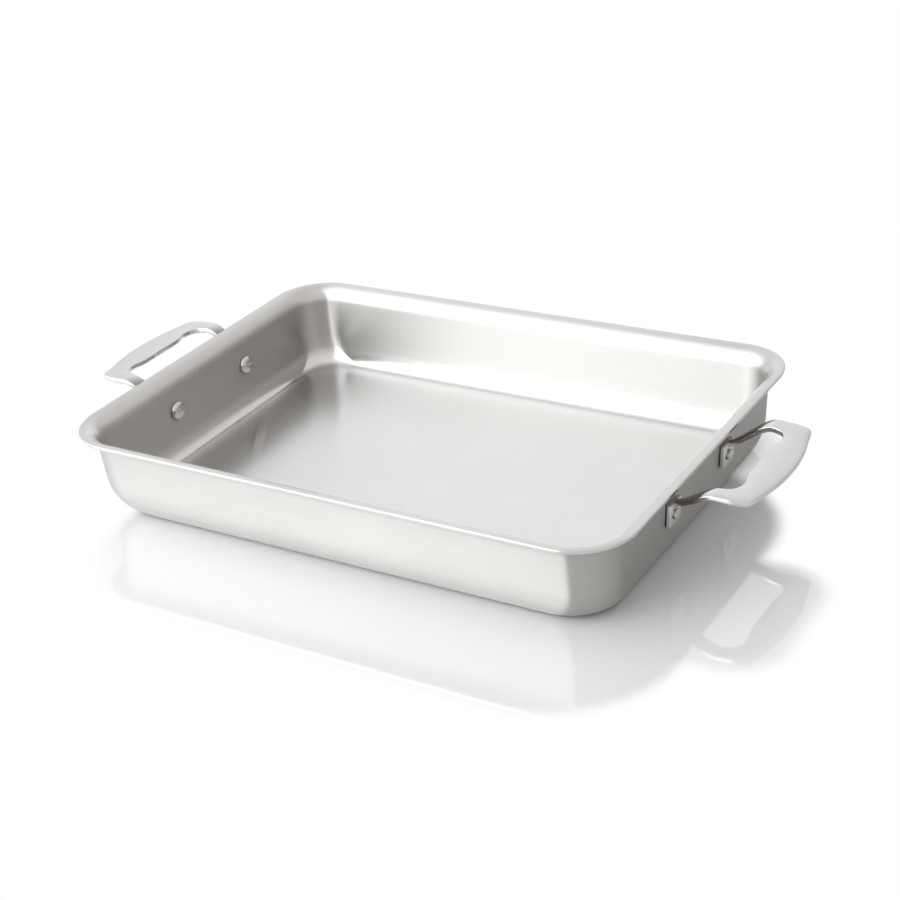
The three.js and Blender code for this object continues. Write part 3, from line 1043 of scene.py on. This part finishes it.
def gloss_white_acrylic():
    material, tree = empty_material("acrylic_gloss_white")
    place = add_node(tree, "ShaderNodeTexCoord")
    shown = place.outputs["Object"]
    fades = []
    for shade in SHADES:
        centre, half = Vector(shade["centre"]) * MM, Vector(shade["half"]) * MM
        offset = add_node(tree, "ShaderNodeVectorMath", {0: shown, 1: centre}, operation="SUBTRACT")
        away = add_node(tree, "ShaderNodeVectorMath", {0: offset.outputs[0]}, operation="ABSOLUTE")
        past = add_node(tree, "ShaderNodeVectorMath", {0: away.outputs[0], 1: half}, operation="SUBTRACT")
        outside = add_node(tree, "ShaderNodeVectorMath", {0: past.outputs[0]}, operation="MAXIMUM")
        gap = add_node(tree, "ShaderNodeVectorMath", {0: outside.outputs[0]}, operation="LENGTH")
        fades.append(add_node(tree, "ShaderNodeMapRange", {
            "Value": gap.outputs["Value"],
            "From Min": shade["fade"][0] * MM,
            "From Max": shade["fade"][1] * MM,
        }, interpolation_type="SMOOTHSTEP").outputs["Result"])
    fade = fades[0]
    for other in fades[1:]:
        fade = add_node(tree, "ShaderNodeMath", {0: fade, 1: other}, operation="MULTIPLY").outputs[0]
    distance = add_node(tree, "ShaderNodeVectorMath", {0: shown}, operation="LENGTH")
    room_fade = add_node(tree, "ShaderNodeMapRange", {
        "Value": distance.outputs["Value"], "From Min": ROOM_START, "From Max": ROOM_END,
    }, interpolation_type="SMOOTHSTEP").outputs["Result"]
    path = add_node(tree, "ShaderNodeLightPath")
    mirrored = add_node(tree, "ShaderNodeMath", {
        0: path.outputs["Is Glossy Ray"], 1: path.outputs["Is Transmission Ray"],
    }, operation="MAXIMUM").outputs[0]
    in_mirror = add_node(tree, "ShaderNodeMath", {
        0: mirrored, 1: room_fade,
    }, operation="MULTIPLY").outputs[0]
    share = add_node(tree, "ShaderNodeMath", {
        0: path.outputs["Is Camera Ray"], 1: fade, 2: in_mirror,
    }, operation="MULTIPLY_ADD")
    acrylic = add_node(tree, "ShaderNodeBsdfPrincipled", {
        "Base Color": linear(TABLE_COLOUR), "Roughness": TABLE_GLOSS,
        "Coat Weight": 1.0, "Coat Roughness": TABLE_GLOSS,
    })
    white = add_node(tree, "ShaderNodeEmission", {"Color": (1, 1, 1, 1), "Strength": 1.0})
    mixed = add_node(tree, "ShaderNodeMixShader", {
        0: share.outputs[0], 1: acrylic.outputs["BSDF"], 2: white.outputs["Emission"],
    })
    add_node(tree, "ShaderNodeOutputMaterial", {"Surface": mixed.outputs["Shader"]})
    return material


table_shape = bmesh.new()
bmesh.ops.create_circle(table_shape, cap_ends=True, segments=TABLE_STEPS, radius=TABLE_RADIUS)
table_mesh = mesh_from(table_shape, "table")
table_mesh.transform(Matrix.Translation((0, 0, -TABLE_DROP)))
table_mesh.materials.append(gloss_white_acrylic())
table = scene_object("table", table_mesh)
print("table:", 2 * TABLE_RADIUS, "m across")

# %% [markdown]
# ## The light
# A bright steel pan shows the room more than itself, so the room is what has to be right. It is a white
# studio. A curved softbox stands at the left front, brightest in its middle. A grey cloth hangs along the
# right side and is darkest low down, so that the left wall has something dark to mirror. A pale card
# behind shows in the outer part of the rim. All three are out of view. Each gives off the levels of light
# written here, at its centre and at its edge, where 1 is white.

# %% White room
world = bpy.data.worlds.new("white_room")
bpy.context.scene.world = world
world.use_nodes = True
room = world.node_tree
room.nodes.clear()
white = add_node(room, "ShaderNodeBackground", {"Color": (1, 1, 1, 1), "Strength": 1.0})
add_node(room, "ShaderNodeOutputWorld", {"Surface": white.outputs["Background"]})
print("world:", world.name)

# %% Softbox, grey cloth and pale card
PANEL_DISTANCE = 1.5
PANEL_STEPS = 16
PANEL_TOP = 80

# Angles in degrees, round the pan from its right end towards the back, and up from the table. The level
# changes over the reach by the given power, and a squash shortens the reach upwards and downwards.
PANELS = {
    "softbox_front_left": {
        "sweep": (146, 269), "centre": (239, 23), "levels": (5.1, 1.0), "reach": 72, "power": 0.75,
        "squash": 1.3, "colour": "#FFFFFF",
    },
    "grey_cloth_right": {
        "sweep": (269, 452), "centre": (405, 0), "levels": (0.06, 0.86), "reach": 100, "power": 0.9,
        "squash": 3.0, "colour": "#FFFCF8",
    },
    "white_card_back": {
        "sweep": (92, 146), "centre": (120, 24), "levels": (1.17, 0.8), "reach": 38, "power": 1.2,
        "squash": 1.0, "colour": "#FFFFFF",
    },
}


def panel_point(around, lifted):
    turn, lift = math.radians(around), math.radians(lifted)
    return PANEL_DISTANCE * Vector((
        math.cos(lift) * math.cos(turn), math.cos(lift) * math.sin(turn), math.sin(lift)))


def panel_mesh(name, sweep):
    points = []
    for around in np.linspace(*sweep, PANEL_STEPS + 1):
        points += [panel_point(around, lifted) for lifted in np.linspace(0, PANEL_TOP, PANEL_STEPS + 1)]
    faces = []
    for column in range(PANEL_STEPS):
        for row in range(PANEL_STEPS):
            here = column * (PANEL_STEPS + 1) + row
            beside = here + PANEL_STEPS + 1
            faces.append((here, here + 1, beside + 1, beside))
    mesh = bpy.data.meshes.new(name)
    mesh.from_pydata(points, [], faces)
    return mesh


def glowing_cloth(name, panel):
    material, tree = empty_material(name)
    place = add_node(tree, "ShaderNodeTexCoord")
    middle = panel_point(*panel["centre"])
    middle.z *= panel["squash"]
    stretched = add_node(tree, "ShaderNodeMapping", {
        "Vector": place.outputs["Object"], "Scale": (1, 1, panel["squash"]),
    })
    away = add_node(tree, "ShaderNodeVectorMath", {
        0: stretched.outputs["Vector"], 1: middle,
    }, operation="DISTANCE")
    edge = 2 * PANEL_DISTANCE * math.sin(math.radians(panel["reach"]) / 2)
    share = add_node(tree, "ShaderNodeMapRange", {"Value": away.outputs["Value"], "From Max": edge})
    curved = add_node(tree, "ShaderNodeMath", {
        0: share.outputs["Result"], 1: panel["power"],
    }, operation="POWER")
    level = add_node(tree, "ShaderNodeMapRange", {
        "Value": curved.outputs["Value"], "To Min": panel["levels"][0], "To Max": panel["levels"][1],
    })
    glow = add_node(tree, "ShaderNodeEmission", {
        "Color": linear(panel["colour"]), "Strength": level.outputs["Result"],
    })
    add_node(tree, "ShaderNodeOutputMaterial", {"Surface": glow.outputs["Emission"]})
    return material


for name, panel in PANELS.items():
    mesh = panel_mesh(name, panel["sweep"])
    mesh.materials.append(glowing_cloth(name, panel))
    stand = scene_object(name, mesh)
    stand.visible_camera = False
print("panels:", ", ".join(PANELS))

# %% [markdown]
# ## Last settings
# The Standard view keeps colours as they are written.

# %% View
bpy.context.scene.view_settings.view_transform = "Standard"
